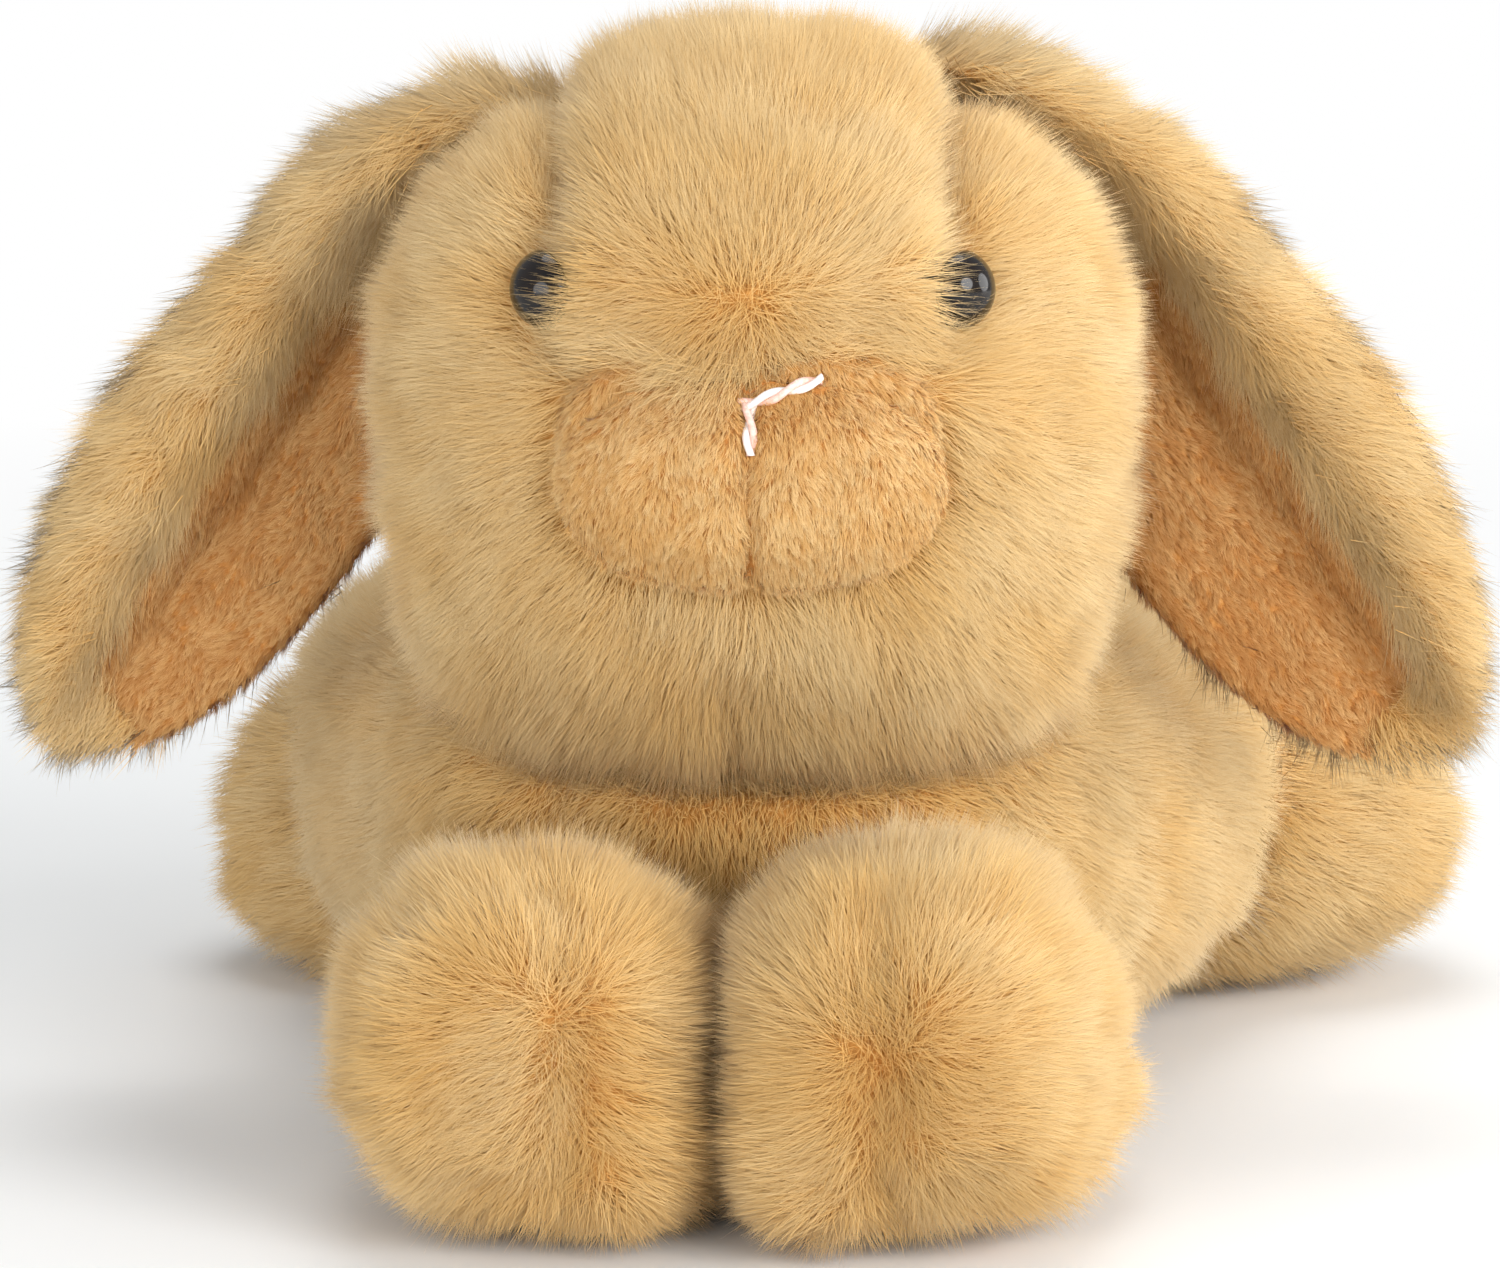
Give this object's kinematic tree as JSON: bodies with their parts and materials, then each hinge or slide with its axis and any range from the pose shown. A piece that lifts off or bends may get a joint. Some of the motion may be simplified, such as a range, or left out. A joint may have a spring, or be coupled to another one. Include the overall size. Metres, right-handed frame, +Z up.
{
  "type": "plush rabbit",
  "caption": "Plush lop-eared rabbit lying on its belly, with long golden fur, velour muzzle and ear linings, black eyes and a stitched nose.",
  "frame": {"origin": "on the flat of the belly, midway between the sides, under the middle of the body", "axes": "+Z up from the floor, -Y the way the face looks, +X the rabbit's own left"},
  "size_m": [0.2298, 0.284, 0.1744],
  "materials": {
    "fur_fabric": "long soft pile",
    "muzzle_velour": "short pile",
    "ear_velour": "short pile",
    "stuffing": "loose fibre",
    "eye_plastic": "polished",
    "washer_plastic": "matte",
    "thread": "twisted thread"
  },
  "bodies": {
    "body": {"body_cover": "fur_fabric", "body_stuffing": "stuffing"},
    "head": {"eye_left": "eye_plastic", "eye_right": "eye_plastic", "eye_washer_left": "washer_plastic", "eye_washer_right": "washer_plastic", "head_cover": "fur_fabric", "head_stuffing": "stuffing", "muzzle_cover": "muzzle_velour", "muzzle_stuffing": "stuffing", "nose_thread": "thread"},
    "ear_left": {"ear_left_back": "fur_fabric", "ear_left_lining": "ear_velour"},
    "ear_right": {"ear_right_back": "fur_fabric", "ear_right_lining": "ear_velour"},
    "front_leg_left": {"front_leg_left_cover": "fur_fabric", "front_leg_left_stuffing": "stuffing"},
    "front_leg_right": {"front_leg_right_cover": "fur_fabric", "front_leg_right_stuffing": "stuffing"},
    "hind_leg_left": {"hind_leg_left_cover": "fur_fabric", "hind_leg_left_stuffing": "stuffing"},
    "hind_leg_right": {"hind_leg_right_cover": "fur_fabric", "hind_leg_right_stuffing": "stuffing"},
    "tail": {"tail_cover": "fur_fabric", "tail_stuffing": "stuffing"}
  },
  "joints": [
    {"name": "head_turn", "type": "hinge", "parent": "body", "child": "head", "pos_m": [0, -0.063, 0.057], "axis": [0, 0, 1], "range_deg": [-15, 15], "stiffness_Nm_per_rad": 0.1},
    {"name": "ear_left_lift", "type": "hinge", "parent": "head", "child": "ear_left", "pos_m": [0.04306, -0.04796, 0.163], "axis": [0.0698, -0.9976, 0], "range_deg": [0, 120]},
    {"name": "ear_right_lift", "type": "hinge", "parent": "head", "child": "ear_right", "pos_m": [-0.04473, -0.0541, 0.163], "axis": [-0.0698, 0.9976, 0], "range_deg": [0, 120]},
    {"name": "front_leg_left_lift", "type": "hinge", "parent": "body", "child": "front_leg_left", "pos_m": [0.03233, -0.09353, 0.04899], "axis": [-1, 0, 0], "range_deg": [0, 20]},
    {"name": "front_leg_right_lift", "type": "hinge", "parent": "body", "child": "front_leg_right", "pos_m": [-0.03233, -0.09353, 0.04899], "axis": [-1, 0, 0], "range_deg": [0, 20]},
    {"name": "hind_leg_left_swing", "type": "hinge", "parent": "body", "child": "hind_leg_left", "pos_m": [0.07527, 0.0336, 0.05984], "axis": [0, -1, 0], "range_deg": [0, 30]},
    {"name": "hind_leg_right_swing", "type": "hinge", "parent": "body", "child": "hind_leg_right", "pos_m": [-0.06454, 0.03252, 0.07016], "axis": [0, 1, 0], "range_deg": [0, 30]},
    {"name": "tail_flip", "type": "hinge", "parent": "body", "child": "tail", "pos_m": [0, 0.08204, 0.06254], "axis": [1, 0, 0], "range_deg": [0, 40]}
  ]
}
